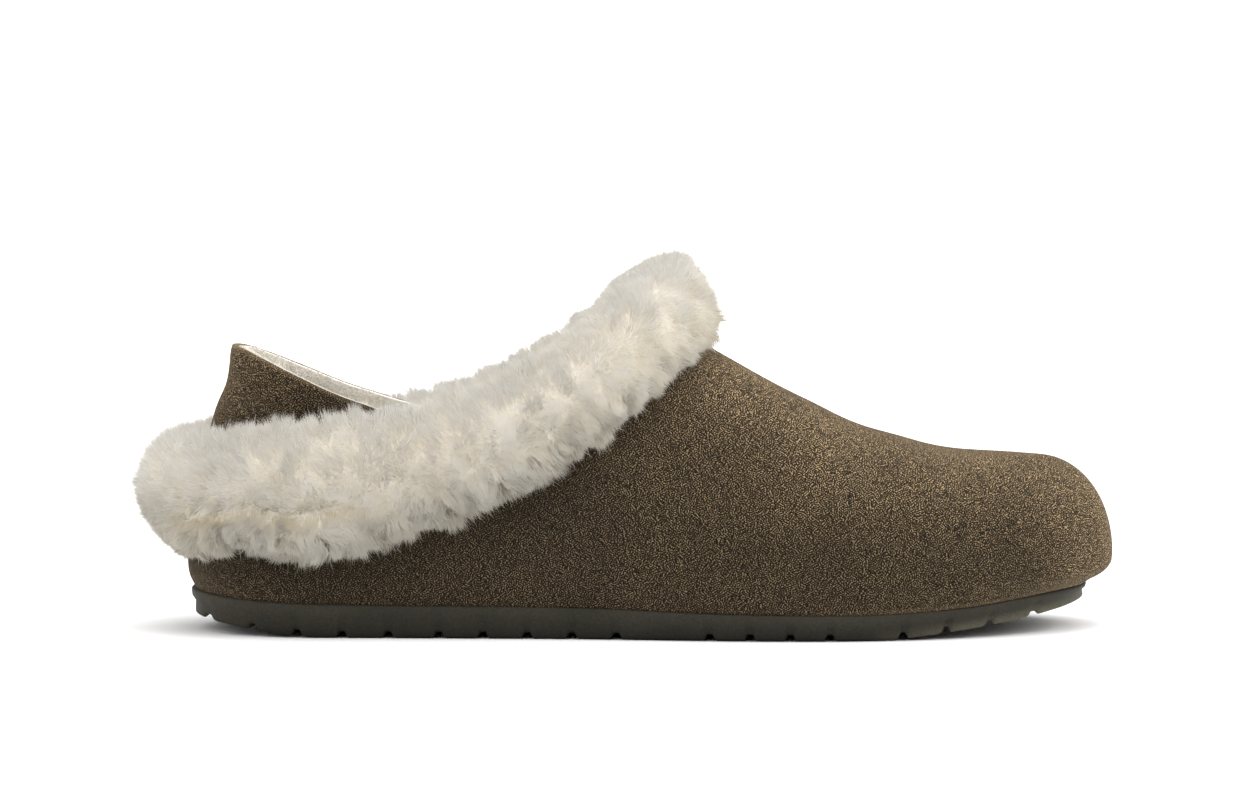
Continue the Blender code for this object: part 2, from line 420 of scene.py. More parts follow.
def curve(rows, column, x):
    """Value of one table column at x, on a monotone cubic through the rows."""
    knots, values = rows["x"], rows[column]
    x = np.clip(x, knots[0], knots[-1])
    step = np.diff(knots)
    rise = np.diff(values) / step
    product = rise[:-1] * rise[1:]
    total = np.where(product > 0, rise[:-1] + rise[1:], 1.0)
    inner = np.where(product > 0, 2 * product / total, 0.0)
    slope = np.concatenate(([rise[0]], inner, [rise[-1]]))
    i = np.clip(np.searchsorted(knots, x) - 1, 0, len(step) - 1)
    t = (x - knots[i]) / step[i]
    bend = t * (1 - t) * step[i] * ((1 - t) * slope[i] - t * slope[i + 1])
    return values[i] + t * t * (3 - 2 * t) * (values[i + 1] - values[i]) + bend


def straight(rows, column, x):
    """Value of one table column at x, on straight lines between the rows."""
    return np.interp(x, rows["x"], rows[column])


def end_cap(distance, length):
    """Share of the full width near a rounded end."""
    return (1 - (1 - np.clip(distance / length, 0, 1)) ** CAP_POWER) ** (1 / CAP_POWER)


def station(theta):
    """Length from the heel at an outline angle, 0 at the heel to pi at the toe."""
    return SOLE_LENGTH * (1 - np.cos(theta)) / 2


def fullness(theta):
    """Share of the full width along the outline, none at its two ends."""
    return end_cap(station(theta), HEEL_CAP) * end_cap(SOLE_LENGTH - station(theta), TOE_CAP)


def outline(theta, side):
    """Edge of the sole in plan."""
    x = station(theta)
    width = np.where(side > 0, curve(PLAN, "medial", x), curve(PLAN, "lateral", x))
    return np.stack([x, curve(PLAN, "axis", x) + side * width * fullness(theta)], -1)


def outward(theta, side):
    """Unit plan normal of the outline."""
    middle = np.clip(theta, 2 * EPSILON, np.pi - 2 * EPSILON)
    along = outline(middle + EPSILON, side) - outline(middle - EPSILON, side)
    normal = np.stack([-side * along[..., 1], side * along[..., 0]], -1)
    return normal / np.linalg.norm(normal, axis=-1, keepdims=True)


def edge(theta, side, inset):
    """Outline moved inward in plan."""
    return outline(theta, side) - np.asarray(inset)[..., None] * outward(theta, side)


def sole_bottom(x):
    """Underside of the outsole, flat between heel and forefoot."""
    heel = HEEL_LIFT * np.clip((HEEL_FLAT_FROM - x) / HEEL_FLAT_FROM, 0, 1) ** EDGE_POWER
    toe = TOE_SPRING * np.clip((x - TOE_FLAT_TO) / (SOLE_LENGTH - TOE_FLAT_TO), 0, 1) ** EDGE_POWER
    return heel + toe


def upper_point(theta, v, side):
    """Outer face of the upper: v runs from the feather edge up the wall and over to the ridge."""
    x = station(theta)
    plan = edge(theta, side, FEATHER_INSET)
    base = curve(SOLE_TOP, "z", plan[..., 0]) + SEAT_GAP
    wide = plan + curve(UPPER, "overhang", x)[..., None] * outward(theta, side)
    wide_z = base + curve(UPPER, "rise", x)
    crown_x = curve(UPPER, "crown", x)
    crown = np.stack([crown_x, curve(PLAN, "axis", crown_x)], -1)
    tuck = np.clip(v / TUCK_SHARE, 0, 1)
    turn = np.clip((v - TUCK_SHARE) / (1 - TUCK_SHARE), 0, 1) * np.pi / 2
    power = 2 / curve(UPPER, "square", x)
    lean = 1 - np.abs(np.cos(turn)) ** power
    climb = np.sin(turn) ** power
    spread = 1 - (1 - tuck) ** TUCK_POWER
    plan = plan + spread[..., None] * (wide - plan) + lean[..., None] * (crown - wide)
    z = base + tuck * (wide_z - base) + climb * (curve(RIDGE, "z", crown_x) - wide_z)
    return np.concatenate([plan, z[..., None]], -1)


def upper_normal(theta, v, side):
    """Outward unit normal of the upper's outer face."""
    theta = np.clip(theta, 10 * EPSILON, np.pi - 10 * EPSILON)
    v = np.clip(v, 10 * EPSILON, 1 - 10 * EPSILON)
    along = upper_point(theta + EPSILON, v, side) - upper_point(theta - EPSILON, v, side)
    up = upper_point(theta, v + EPSILON, side) - upper_point(theta, v - EPSILON, side)
    return unit(-side * np.cross(along, up))


def level_share(theta, side, rows, column):
    """How far up each column of the upper a side-view line crosses it; 1 where it never does."""
    low = np.full_like(theta, TUCK_SHARE)
    high = np.ones_like(theta)
    for _ in range(HALVINGS):
        middle = (low + high) / 2
        point = upper_point(theta, middle, side)
        below = point[..., 2] < curve(rows, column, point[..., 0])
        low = np.where(below, middle, low)
        high = np.where(below, high, middle)
    return high


def ridge_crossing(rows, column):
    """Outline angle of the column whose ridge point lies on a side-view line."""
    low, high = np.pi / 3, np.pi
    for _ in range(HALVINGS):
        middle = (low + high) / 2
        x, _, z = upper_point(np.array(middle), np.array(1.0), LATERAL)
        if curve(rows, column, x) < z:
            low = middle
        else:
            high = middle
    return low


def unit(vectors):
    """Vectors at length one."""
    return vectors / np.maximum(np.linalg.norm(vectors, axis=-1, keepdims=True), 1e-12)


def lumps(points, size):
    """Smooth random lumps, about as far apart as size, at each point."""
    values = [noise.noise(Vector(p) / size) for p in points.reshape(-1, 3)]
    return np.array(values).reshape(points.shape[:-1])


def row_offset():
    """Where the back of the outsole on its axis lies in the frame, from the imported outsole's box."""
    low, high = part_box("outsole")
    theta = np.linspace(0, np.pi, 2000)
    lateral = edge(theta, LATERAL, -SOLE_SIDE_BULGE)[:, 1].min() * MM
    medial = edge(theta, MEDIAL, -SOLE_SIDE_BULGE)[:, 1].max() * MM
    return np.array([low[0] + SOLE_SIDE_BULGE * MM, (low[1] + high[1] - lateral - medial) / 2, 0.0])


OFFSET = row_offset()


def to_row(points):
    """Millimetre points in the frame's metres."""
    return np.asarray(points) * MM + OFFSET


def new_piece(name, points, faces, materials):
    """Mesh object in the frame that rides on the shoe's one body."""
    mesh = bpy.data.meshes.new(name)
    mesh.from_pydata(to_row(points), [], faces)
    mesh.polygons.foreach_set("use_smooth", np.ones(len(mesh.polygons), dtype=bool))
    for material in materials:
        mesh.materials.append(material)
    mesh.update()
    piece = bpy.data.objects.new(name, mesh)
    bpy.context.scene.collection.objects.link(piece)
    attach(piece, "root")
    return piece


def mark_points(piece, name, values):
    """Keeps one number for each point of a piece, for its material."""
    mark = piece.data.attributes.new(name, "FLOAT", "POINT")
    mark.data.foreach_set("value", np.ravel(values))


def weld(piece):
    """Joins points that lie on each other where sections close or meet."""
    work = bmesh.new()
    work.from_mesh(piece.data)
    bmesh.ops.remove_doubles(work, verts=work.verts[:], dist=WELD * MM)
    bmesh.ops.recalc_face_normals(work, faces=work.faces[:])
    work.to_mesh(piece.data)
    work.free()


def loft_faces(count, size, closed_loft, closed_ring):
    """Quads through count sections of size points each."""
    faces = []
    for k in range(count if closed_loft else count - 1):
        here, there = k * size, (k + 1) % count * size
        for i in range(size if closed_ring else size - 1):
            j = (i + 1) % size
            faces.append((here + i, here + j, there + j, there + i))
    return faces


# Materials


class Nodes:
    """Short calls for building one material's node tree."""

    def __init__(self, name):
        self.material = bpy.data.materials.new(name)
        self.material.use_nodes = True
        self.tree = self.material.node_tree
        self.shader = self.tree.nodes["Principled BSDF"]

    def add(self, kind, **settings):
        node = self.tree.nodes.new(kind)
        for key, value in settings.items():
            setattr(node, key, value)
        return node

    def put(self, value, socket):
        if isinstance(value, bpy.types.NodeSocket):
            self.tree.links.new(value, socket)
        else:
            socket.default_value = value

    def coordinates(self):
        return self.add("ShaderNodeTexCoord").outputs["Object"]

    def stretch(self, vector, scale):
        node = self.add("ShaderNodeMapping", vector_type="TEXTURE")
        self.put(vector, node.inputs["Vector"])
        self.put(scale, node.inputs["Scale"])
        return node.outputs["Vector"]

    def warp(self, vector, scale, amount):
        swirl = self.add("ShaderNodeTexNoise")
        self.put(vector, swirl.inputs["Vector"])
        self.put(scale, swirl.inputs["Scale"])
        node = self.add("ShaderNodeVectorMath", operation="MULTIPLY_ADD")
        self.put(swirl.outputs["Color"], node.inputs[0])
        self.put((amount, amount, amount), node.inputs[1])
        self.put(vector, node.inputs[2])
        return node.outputs["Vector"]

    def noise(self, vector, scale, detail=2.0, roughness=0.5, distortion=0.0):
        node = self.add("ShaderNodeTexNoise")
        self.put(vector, node.inputs["Vector"])
        self.put(scale, node.inputs["Scale"])
        self.put(detail, node.inputs["Detail"])
        self.put(roughness, node.inputs["Roughness"])
        self.put(distortion, node.inputs["Distortion"])
        return node.outputs["Fac"]

    def streaks(self, vector, direction, scale, frequency, anisotropy):
        node = self.add("ShaderNodeTexGabor", gabor_type="3D")
        self.put(vector, node.inputs["Vector"])
        self.put(direction, node.inputs["Orientation 3D"])
        self.put(scale, node.inputs["Scale"])
        self.put(frequency, node.inputs["Frequency"])
        self.put(anisotropy, node.inputs["Anisotropy"])
        return node.outputs["Value"]

    def ramp(self, value, *stops):
        node = self.add("ShaderNodeValToRGB")
        self.put(value, node.inputs["Fac"])
        elements = node.color_ramp.elements
        while len(elements) < len(stops):
            elements.new(0.5)
        for element, (position, color) in zip(elements, stops):
            element.position = position
            element.color = (*color, 1.0)
        return node.outputs["Color"]

    def math(self, operation, a, b=0.0):
        node = self.add("ShaderNodeMath", operation=operation)
        self.put(a, node.inputs[0])
        self.put(b, node.inputs[1])
        return node.outputs[0]

    def mix(self, blend, factor, a, b):
        node = self.add("ShaderNodeMix", data_type="RGBA", blend_type=blend)
        self.put(factor, node.inputs["Factor"])
        self.put(a, node.inputs["A"])
        self.put(b, node.inputs["B"])
        return node.outputs["Result"]

    def attribute(self, name, output):
        return self.add("ShaderNodeAttribute", attribute_name=name).outputs[output]

    def bump(self, height, strength, distance):
        node = self.add("ShaderNodeBump")
        self.put(strength, node.inputs["Strength"])
        self.put(distance, node.inputs["Distance"])
        self.put(height, node.inputs["Height"])
        self.put(node.outputs["Normal"], self.shader.inputs["Normal"])

    def set(self, **values):
        for key, value in values.items():
            self.put(value, self.shader.inputs[key.replace("_", " ")])


def suede_material():
    """Napped suede: short leaning fibres with dark gaps, brushed lighter and darker in patches, with
    painted light and shade.
    """
    n = Nodes("suede_upper")
    drawn = n.stretch(n.coordinates(), (1.0, 1.3, 1.0))
    swirled = n.warp(drawn, 350.0, 0.0006)
    nap = n.streaks(swirled, NAP_DIRECTION, NAP_SCALE, NAP_FREQUENCY, NAP_ANISOTROPY)
    fine = n.noise(drawn, 2600.0, 1.0, 0.5)
    height = n.math("ADD", n.math("MULTIPLY", nap, 0.8), n.math("MULTIPLY", fine, 0.2))
    color = n.ramp(
        height,
        (0.42, (0.0015, 0.001, 0.0005)),
        (0.50, (0.012, 0.0082, 0.0043)),
        (0.57, (0.066, 0.047, 0.0262)),
        (0.65, (0.185, 0.133, 0.077)),
    )
    patch = n.noise(n.coordinates(), 32.0, 3.0, 0.55, 0.4)
    brushing_and_painted_highlight = n.ramp(patch, (0.3, (0.80, 0.79, 0.78)), (0.7, (1.16, 1.15, 1.12)))
    color = n.mix("MULTIPLY", 1.0, color, brushing_and_painted_highlight)
    # Painted highlight: the suede about doubled in brightness on up-facing faces and the toe front
    lighter = n.mix("MULTIPLY", 1.0, color, (2.0, 1.97, 1.9, 1.0))
    color = n.mix("MIX", n.attribute("brushing_and_painted_highlight", "Fac"), color, lighter)
    color = n.mix("ADD", n.attribute("rubbed", "Fac"), color, (0.085, 0.062, 0.038, 1.0))
    # Painted shadow: the suede darkened near the cuff's hem
    color = n.mix("MULTIPLY", n.attribute("painted_hem_shadow", "Fac"), color, (0.0, 0.0, 0.0, 1.0))
    n.set(Base_Color=color, Roughness=0.95, Specular_IOR_Level=0.15)
    n.set(Sheen_Weight=0.18, Sheen_Roughness=0.5, Sheen_Tint=(0.76, 0.58, 0.36, 1.0))
    n.bump(height, 0.9, 0.0006)
    return n.material


def pile_material(name):
    """Wool strands, tinted from the skin to the tip by the colour kept on them."""
    n = Nodes(name)
    wool = n.attribute("wool", "Color")
    n.set(Base_Color=wool, Roughness=0.8, Specular_IOR_Level=0.15)
    through = n.add("ShaderNodeBsdfTranslucent")
    n.put(wool, through.inputs["Color"])
    both = n.add("ShaderNodeMixShader")
    n.put(WOOL_THROUGH, both.inputs["Fac"])
    n.put(n.shader.outputs["BSDF"], both.inputs[1])
    n.put(through.outputs["BSDF"], both.inputs[2])
    n.put(both.outputs["Shader"], n.tree.nodes["Material Output"].inputs["Surface"])
    return n.material


def skin_material(name, warm, pale):
    """Dense underwool and skin below the pile, between a warm and a pale tone."""
    n = Nodes(name)
    fibres = n.noise(n.coordinates(), 900.0, 3.0, 0.65, 0.6)
    tufts = n.noise(n.coordinates(), 170.0, 2.0, 0.5)
    color = n.ramp(tufts, (0.3, warm), (0.7, pale))
    shade = n.ramp(fibres, (0.3, (0.86, 0.84, 0.81)), (0.7, (1.06, 1.06, 1.05)))
    n.set(Base_Color=n.mix("MULTIPLY", 1.0, color, shade), Roughness=0.95, Specular_IOR_Level=0.1)
    n.bump(n.math("ADD", fibres, tufts), 0.6, 0.0012)
    return n.material


def rubber_material():
    """Matt moulded rubber with a fine mould grain, and painted light and shade kept on its points."""
    n = Nodes("rubber_outsole")
    grain = n.noise(n.coordinates(), 1500.0, 2.0, 0.6)
    cloud = n.noise(n.coordinates(), 45.0, 3.0, 0.55)
    color = n.ramp(cloud, (0.3, (0.023, 0.0207, 0.0145)), (0.7, (0.032, 0.0287, 0.021)))
    # Painted light and shade: darker near the floor, lighter on the lower toe and at the heel end
    color = n.mix("MULTIPLY", 1.0, color, n.attribute("painted_light_and_shade", "Fac"))
    speck = n.ramp(grain, (0.35, (0.82, 0.82, 0.82)), (0.68, (1.15, 1.15, 1.13)))
    n.set(Base_Color=n.mix("MULTIPLY", 1.0, color, speck), Specular_IOR_Level=0.14)
    n.set(Roughness=n.math("ADD", n.math("MULTIPLY", cloud, 0.2), 0.5))
    n.bump(n.math("ADD", grain, n.math("MULTIPLY", cloud, 0.5)), 0.22, 0.0004)
    return n.material


# Outsole


def groove_stations(fine):
    """Stations along the outsole, crowded at its grooves, each with its share of groove depth."""
    centres = []
    for first, count, pitch in zip(GROOVES["first"], GROOVES["count"], GROOVES["pitch"]):
        centres += [first + pitch * i for i in range(int(count))]
    rows = []
    for centre in centres:
        rows += [(centre + x, depth) for x, depth in zip(GROOVE_PROFILE["x"], GROOVE_PROFILE["depth"])]
    reach = GROOVE_PROFILE["x"][-1] + 0.5
    for x in station(np.linspace(0, np.pi, fine)):
        if min(abs(x - centre) for centre in centres) > reach:
            rows.append((x, 0.0))
    return np.array(sorted(rows))


def sole_profile(crisp):
    """Side of the outsole from its foot to its lip, as inset, lift and share of the height."""
    foot = SOLE_FOOT_INSET * crisp
    fillet = SOLE_FILLET * crisp
    turns = np.linspace(0, np.pi / 2, 5)
    profile = [(foot + fillet * (1 - math.sin(t)), fillet * (1 - math.cos(t)), 0.0) for t in turns]
    profile += [(inset, 0.0, share) for inset, share in SOLE_SIDE]
    for t in turns:
        inset = SOLE_LIP * (1 - math.cos(t)) - SOLE_SIDE_BULGE
        profile.append((inset, SOLE_LIP * (math.sin(t) - 1), 1.0))
    return profile


def sole_lanes(theta, inset, count):
    """Lanes across the underside in plan, bowed towards the toe where the sole is wide."""
    lanes = np.linspace(0, 1, count)[:, None, None]
    lateral, medial = [edge(theta, side, inset) for side in (LATERAL, MEDIAL)]
    under = lateral + lanes * (medial - lateral)
    width = (medial - lateral)[:, 1] / 2
    bow = GROOVE_BOW * (width / PLAN["lateral"].max()) ** 2
    under[..., 0] += bow * (1 - (2 * lanes[..., 0] - 1) ** 2)
    return under


def sole_painted_light_and_shade(points):
    """Painted light and shade on the rubber: painted shade by the floor, painted light on the lower toe
    and round the heel.
    """
    x = points[..., 0]
    rise = points[..., 2] - sole_bottom(x)
    toe = np.clip((x - PAINTED_TOE_LIGHT_FROM) / PAINTED_TOE_LIGHT_BLEND, 0, 1)
    heel = np.clip(1 - x / PAINTED_HEEL_LIGHT_REACH, 0, 1)
    ground = np.clip(1 - rise / FLOOR_SHADE_RISE, 0, 1) ** FLOOR_SHADE_POWER * (1 - toe) * (1 - heel)
    toe_painted_light = np.clip(1 - rise / PAINTED_TOE_LIGHT_RISE, 0, 1) * toe
    return 1 - FLOOR_SHADE * ground + PAINTED_TOE_LIGHT * toe_painted_light + PAINTED_HEEL_LIGHT * heel


def build_outsole():
    """Moulded outsole with rounded lower edge, drafted side, lip and bowed grooves."""
    rows = groove_stations(SOLE_STATIONS)
    x, groove = rows[:, 0], rows[:, 1]
    theta = np.arccos(1 - 2 * np.clip(x / SOLE_LENGTH, 0, 1))
    bottom = sole_bottom(x) + groove * GROOVE_DEPTH * straight(GROOVE_SHARE, "share", x)
    height = curve(SOLE_TOP, "z", x) - bottom
    profile = sole_profile(straight(SOLE_CRISP, "share", x))
    under = sole_lanes(theta, profile[0][0], SOLE_LANES)
    sections = [np.concatenate([lane, bottom[:, None]], 1) for lane in under]
    walls = {LATERAL: [], MEDIAL: []}
    for side, wall in walls.items():
        for inset, lift, share in profile:
            z = bottom + lift + share * height
            wall.append(np.concatenate([edge(theta, side, inset), z[:, None]], 1))
    points = np.stack(sections + walls[MEDIAL][1:] + walls[LATERAL][:0:-1], 1)
    faces = loft_faces(len(x), points.shape[1], False, True)
    piece = new_piece("outsole_rubber", points.reshape(-1, 3), faces, [rubber_material()])
    # Painted light and shade kept on the outsole's points
    mark_points(piece, "painted_light_and_shade", sole_painted_light_and_shade(points))
    weld(piece)
    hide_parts("outsole")


# Upper and lining


def soft_creases(points):
    """Outward swell or sink of the suede: a few broad soft folds and slack between them."""
    swell = SLACK * lumps(points, SLACK_SIZE)
    for x, z, x_reach, z_reach, depth in zip(*CREASES.values()):
        up = points[..., 2] - z
        across = (points[..., 0] - x + CREASE_SLANT * up) / x_reach
        swell += depth * np.exp(-(across ** 2) - (up / z_reach) ** 2)
    return swell


def rim_roll(points, open_column):
    """Swell of the padded rim and the pinch below it, strongest at the heel."""
    below = points[:, -1:, 2] - points[..., 2]
    swell = RIM_SWELL * np.exp(-(below / RIM_REACH) ** 2)
    pinch = RIM_PINCH * np.exp(-((below - RIM_PINCH_BELOW) / RIM_REACH) ** 2)
    heel = np.clip((RIM_HEEL_TO - points[..., 0]) / RIM_HEEL_BLEND, 0, 1)
    share = RIM_SIDE_SHARE + (1 - RIM_SIDE_SHARE) * heel
    return (swell - pinch) * share * open_column[:, None]


def suede_marks(points, normals, v, open_column):
    """Where the suede is rubbed at its edges, where it gets a painted highlight, and where it gets a
    painted shadow below the cuff.
    """
    x, z = points[..., 0], points[..., 2]
    rim = np.clip((np.linspace(0, 1, v.shape[1]) - 1 + RIM_RUB) / RIM_RUB, 0, 1)
    toe = np.clip((x - FEATHER_RUB_FROM) / FEATHER_RUB_BLEND, 0.1, 1)
    feather = toe * np.clip(1 - v / FEATHER_RUB, 0, 1)
    # Painted highlight where the suede faces up and on the toe front
    facing_up = np.clip((normals[..., 2] - 0.1) / 0.7, 0, 1)
    toe_front = TOE_PAINTED_HIGHLIGHT * np.clip((x - TOE_PAINTED_HIGHLIGHT_FROM) / TOE_PAINTED_HIGHLIGHT_BLEND, 0, 1)
    # Painted shadow of the cuff, fading below its hem and above its top edge
    below = np.maximum(curve(CUFF, "hem", x) - z, 0)
    beyond = np.maximum(z - curve(CUFF, "top", x), 0)
    return {
        "rubbed": np.maximum(open_column[:, None] * rim, feather),
        "brushing_and_painted_highlight": np.clip(facing_up + toe_front, 0, 1),
        "painted_hem_shadow": HEM_SHADE * np.exp(-(below + beyond) / curve(HEM_REACH, "reach", x)),
    }


def upper_grid(side, counts, depth, creased, over=0.0):
    """Grid over the upper from feather edge to topline or ridge, sunk by depth, and its marks.

    Near the open rim the last fifth of the rows is drawn up, the last row by over.
    """
    rear, front, rows = counts
    throat = ridge_crossing(TOPLINE, "z")
    back = throat * (1 - (1 - np.linspace(0, 1, rear + 1)) ** THROAT_CROWDING)
    columns = np.concatenate([back, np.linspace(throat, np.pi, front + 1)[1:]])
    open_column = columns < throat
    reach = np.where(open_column, level_share(columns, side, TOPLINE, "z"), 1.0)
    v = np.linspace(0, 1, rows + 1) * reach[:, None]
    theta = columns[:, None] + 0 * v
    points = upper_point(theta, v, side)
    normals = upper_normal(theta, v, side)
    flat = (theta < EPSILON) | (theta > np.pi - EPSILON) | (v > 1 - EPSILON)
    normals[..., 1] = np.where(flat, 0.0, normals[..., 1])
    normals = unit(normals)
    if creased:
        swell = soft_creases(points) + rim_roll(points, open_column)
        points = points + swell[..., None] * normals
        points[:, 0, 2] -= FEATHER_DROP
    marks = suede_marks(points, normals, v, open_column)
    above = unit(points[:, -1] - points[:, -2])[:, None]
    drawn = open_column[:, None] * np.clip(np.linspace(-4, 1, rows + 1), 0, 1)
    points = points + over * drawn[..., None] * above
    return points - depth * normals, marks


def both_sides(counts, depth, creased, over=0.0):
    """Points and faces of the upper's grid on both sides of the shoe, and each side's marks."""
    points, faces, marks = [], [], []
    for side in (LATERAL, MEDIAL):
        grid, marked = upper_grid(side, counts, depth, creased, over)
        start = sum(len(p) for p in points)
        quads = np.array(loft_faces(grid.shape[0], grid.shape[1], False, False)) + start
        faces += (quads if side > 0 else quads[:, ::-1]).tolist()
        points.append(grid.reshape(-1, 3))
        marks.append(marked)
    return np.concatenate(points), faces, marks


def thicken(piece, thickness):
    """Gives a surface a wall on its inner side."""
    wall = piece.modifiers.new("wall", "SOLIDIFY")
    wall.thickness = thickness * MM
    wall.offset = -1
    return wall


def round_rim(piece, width, segments):
    """Rounds the sharp edges of a wall."""
    rim = piece.modifiers.new("rim", "BEVEL")
    rim.width = width * MM
    rim.segments = segments
    rim.limit_method = "ANGLE"
    rim.angle_limit = math.radians(50)


def build_suede():
    """Suede wall of the upper with its cut edges."""
    points, faces, marks = both_sides(SUEDE_GRID, 0.0, True)
    suede = suede_material()
    flesh = skin_material("suede_flesh_side", *LINING_TONES)
    piece = new_piece("suede_upper", points, faces, [suede, suede, flesh])
    for name in marks[0]:
        mark_points(piece, name, np.concatenate([marked[name].ravel() for marked in marks]))
    weld(piece)
    wall = thicken(piece, SUEDE_THICKNESS)
    wall.material_offset = 2
    round_rim(piece, SUEDE_ROLL, 3)
    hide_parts("upper")


def build_lining():
    """Skin of the shearling lining inside the suede."""
    points, faces, _ = both_sides(LINING_GRID, LINING_DEPTH, False, LINING_OVER)
    skin = skin_material("lining_skin", *LINING_TONES)
    piece = new_piece("lining_skin", points, faces, [skin])
    weld(piece)
    wall = thicken(piece, LINING_THICKNESS)
    wall.use_even_offset = True
    round_rim(piece, 0.4 * LINING_THICKNESS, 2)


# Pile


def grid_normals(grid, closed):
    """Unit normals and across-section tangents of a grid, whose first axis may close on itself."""
    if closed:
        along = np.roll(grid, -1, 0) - np.roll(grid, 1, 0)
    else:
        along = np.gradient(grid, axis=0)
    across = np.gradient(grid, axis=1)
    return unit(np.cross(along, across)), unit(across)


def scatter(grid, weight, count, closed, rng):
    """Random even spread over a grid: cell corner indices and corner shares for each root."""
    near = grid[:-1] if not closed else grid
    far = grid[1:] if not closed else np.roll(grid, -1, 0)
    diagonal = far[:, 1:] - near[:, :-1]
    other = far[:, :-1] - near[:, 1:]
    area = np.linalg.norm(np.cross(diagonal, other), axis=-1) * weight[: near.shape[0], :-1]
    chance = np.cumsum(area.ravel())
    cell = np.searchsorted(chance, rng.random(count) * chance[-1])
    row, column = np.unravel_index(np.minimum(cell, area.size - 1), area.shape)
    return row, (row + 1) % grid.shape[0], column, rng.random(count), rng.random(count)


def sample(values, spots):
    """Values on the grid at scattered spots."""
    row, after, column, s, t = spots
    if values.ndim > 2:
        s, t = s[:, None], t[:, None]
    near = values[row, column] * (1 - t) + values[row, column + 1] * t
    far = values[after, column] * (1 - t) + values[after, column + 1] * t
    return near * (1 - s) + far * s


def varied(count, rng):
    """Random factors from 0.8 to 1.2."""
    return 0.8 + 0.4 * rng.random(count)


def search_tree(centres):
    """Search tree over a set of centres."""
    tree = KDTree(len(centres))
    for i, centre in enumerate(centres):
        tree.insert(centre, i)
    tree.balance()
    return tree


def gather(roots, tips, keys, lock, pull, spread, rng):
    """Draws the tips of each lock towards the tip of its key strand."""
    key = keys[lock]
    goal = tips[key] + spread * (roots - roots[key])
    strength = (pull * (0.6 + 0.8 * rng.random(len(keys))))[lock][:, None]
    return tips + np.clip(strength, 0, 0.95) * (goal - tips)


def choose_locks(roots, count, rng):
    """Key strands of a number of locks, and the lock that each strand belongs to."""
    keys = rng.choice(len(roots), count, replace=False)
    tree = search_tree(roots[keys])
    return keys, np.array([tree.find(point)[1] for point in roots])


def lifted(normals):
    """Normals turned towards the sky where they don't already look down."""
    lift = WOOL_LIFT * np.clip(0.5 + 1.2 * normals[:, 2:], 0, 1)
    return unit(normals + lift * np.array([0.0, 0.0, 1.0]))


def strand_mesh(name, pile, pick, material):
    """One mesh of flat pointed strands that face out of the pile, each with its own cell of the map."""
    root, middle, tip = pile["root"][pick], pile["middle"][pick], pile["tip"][pick]
    count = len(root)
    shade = lifted(pile["normal"][pick])
    axis = unit(tip - root)
    sideways = unit(np.cross(axis, shade + pile["turn"][pick]))
    reach = pile["width"][pick][:, None] / 2 * sideways
    points = np.stack([root, middle + reach, tip, middle - reach], 1)
    turned = [unit(shade + WOOL_ROUND * way) for way in (sideways, axis, -sideways)]
    faces = np.arange(4 * count).reshape(-1, 4)
    piece = new_piece(name, points.reshape(-1, 3), faces.tolist(), [material])
    tint = piece.data.attributes.new("wool", "FLOAT_COLOR", "POINT")
    levels = pile["color"][pick][:, [0, 1, 2, 1]]
    tint.data.foreach_set("color", np.concatenate([levels, np.ones((count, 4, 1))], 2).ravel())
    piece.data.normals_split_custom_set_from_vertices(np.stack([shade, *turned], 1).reshape(-1, 3))
    side = math.ceil(math.sqrt(count))
    cell = np.stack(np.divmod(np.arange(count), side), -1)[:, ::-1] / side
    corners = np.array([(0.5, 0.05), (0.95, 0.5), (0.5, 0.95), (0.05, 0.5)])
    bake = piece.data.uv_layers.new(name="OFBake")
    bake.data.foreach_set("uv", (cell[:, None] + corners / side).ravel())
    piece.visible_shadow = False
    return piece


def wool_colors(tone, warmth):
    """Root, middle and tip colours of each strand."""
    tint = 1 - warmth[:, None] * (1 - WOOL_YELLOW)
    levels = [base * tone[:, None] * tint for base in (WOOL_ROOT, WOOL_MIDDLE, WOOL_TIP)]
    return np.clip(np.stack(levels, 1), 0, 0.97)


# Cuff


def cuff_places(count):
    """Positions along one side of the cuff, 0 at the heel and 1 at the throat, crowded at the throat."""
    return 1 - (1 - np.linspace(0, 1, count + 1)) ** THROAT_CROWDING


def cuff_side(places, share, depth, side):
    """Points beside the upper: share runs from hem to top edge, depth is away from the suede."""
    hem_theta = places * ridge_crossing(CUFF, "hem")
    top_theta = places * ridge_crossing(CUFF, "top")
    hem = level_share(hem_theta, side, CUFF, "hem")
    top = level_share(top_theta, side, CUFF, "top")
    theta = hem_theta[:, None] + share * (top_theta - hem_theta)[:, None]
    v = hem[:, None] + share * (top - hem)[:, None]
    normal = upper_normal(theta, v, side)
    ends = (places < EPSILON) | (places > 1 - EPSILON)
    normal[..., 1] = np.where(ends[:, None], 0.0, normal[..., 1])
    return upper_point(theta, v, side) + depth[..., None] * unit(normal)


def heel_share(place):
    """How near the back of the heel a place along the cuff lies."""
    return np.clip((HEEL_END - place) / END_BLEND, 0, 1)


def throat_share(place):
    """How near the throat a place along the cuff lies."""
    return np.clip((place - THROAT_START) / END_BLEND, 0, 1)


